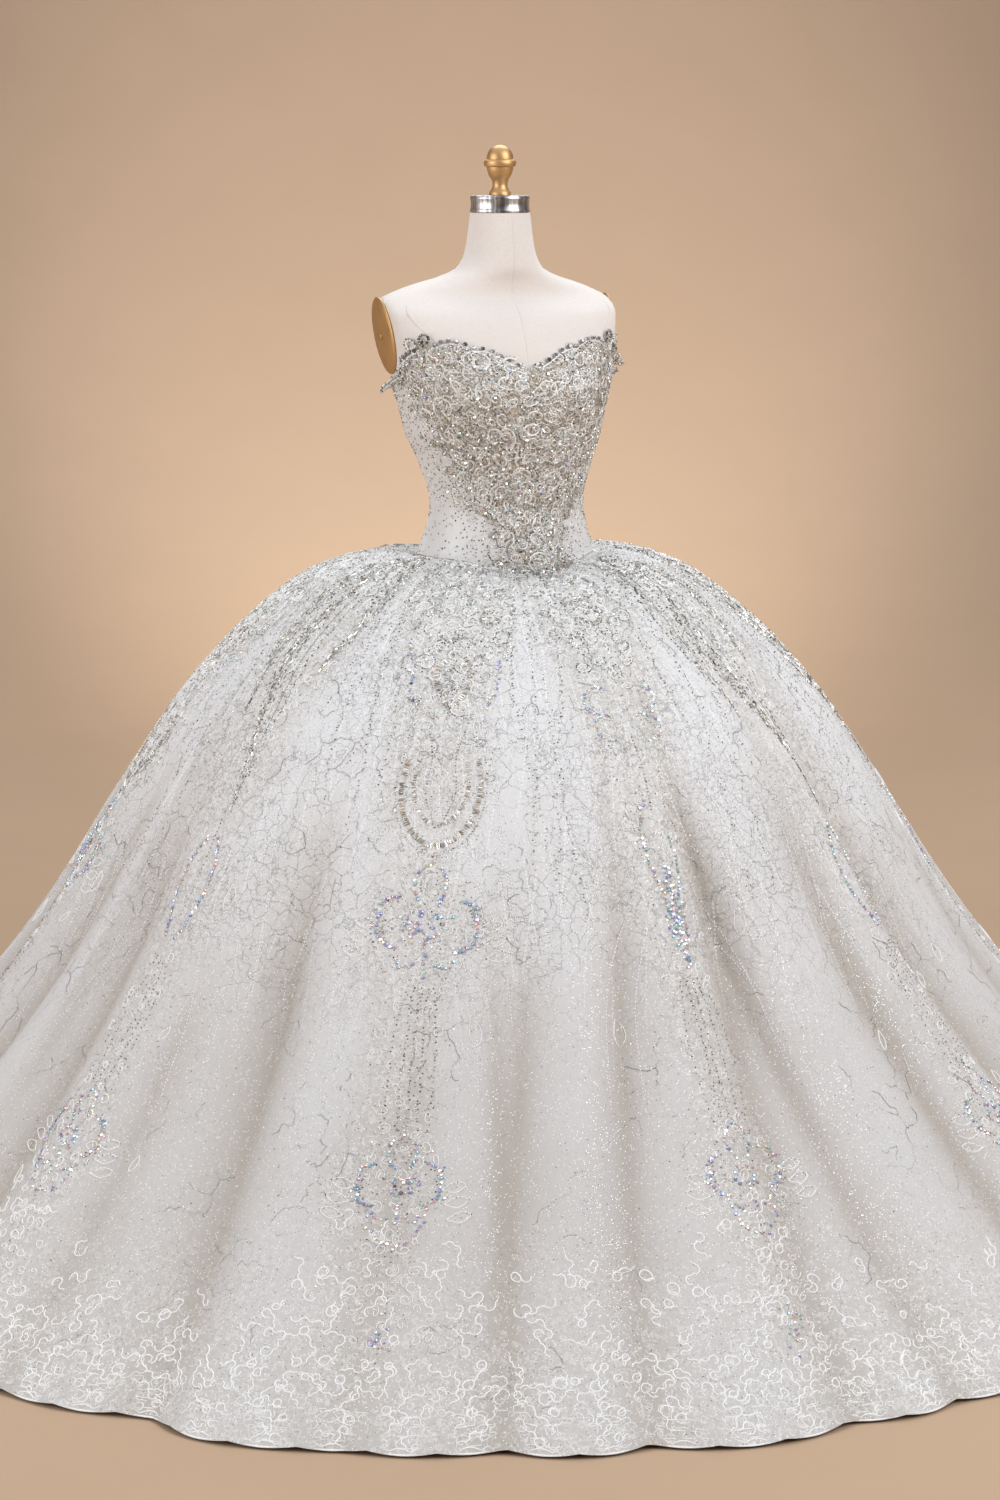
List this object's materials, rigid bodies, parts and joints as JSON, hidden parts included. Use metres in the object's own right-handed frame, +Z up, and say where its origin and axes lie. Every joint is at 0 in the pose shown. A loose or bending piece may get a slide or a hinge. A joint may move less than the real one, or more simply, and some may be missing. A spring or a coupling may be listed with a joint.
{
  "type": "ball gown on a dress form",
  "caption": "Strapless beaded ball gown with a sweetheart bodice, basque waist and wide gathered skirt with a scalloped lace hem, on a limbless dress form.",
  "frame": {"origin": "centre of the stand's round base, on the floor", "axes": "+Z up, the gown faces -Y, the wearer's left is +X"},
  "size_m": [2.4186, 2.4288, 1.7146],
  "materials": {
    "beaded": "dense silver beadwork and corded scrolls on satin",
    "satin": "white satin with scattered silver beads",
    "net": "glitter net with corded and silver thread embroidery over satin",
    "lace": "white corded lace",
    "silver": "silver bugle and seed beads",
    "linen": "off-white linen cover",
    "chrome": "polished",
    "brass": "satin gold lacquer",
    "iron": "black enamel"
  },
  "bodies": {
    "root": {"bodice_front": "beaded", "bodice_side_front_L": "beaded", "bodice_side_front_R": "beaded", "bodice_side_back_L": "satin", "bodice_side_back_R": "satin", "bodice_back_L": "satin", "bodice_back_R": "satin", "zip_back": "satin", "neck_scroll_L": "silver", "neck_scroll_R": "silver", "skirt_front": "net", "skirt_side_front_L": "net", "skirt_side_front_R": "net", "skirt_side_back_L": "net", "skirt_side_back_R": "net", "skirt_back_L": "net", "skirt_back_R": "net", "hem_lace_front": "lace", "hem_lace_side_front_L": "lace", "hem_lace_side_front_R": "lace", "hem_lace_side_back_L": "lace", "hem_lace_side_back_R": "lace", "hem_lace_back_L": "lace", "hem_lace_back_R": "lace", "form_torso": "linen", "form_neck_cap": "chrome", "form_finial": "brass", "form_arm_plate_L": "brass", "form_arm_plate_R": "brass", "form_pole": "iron", "form_base": "iron"}
  },
  "joints": []
}
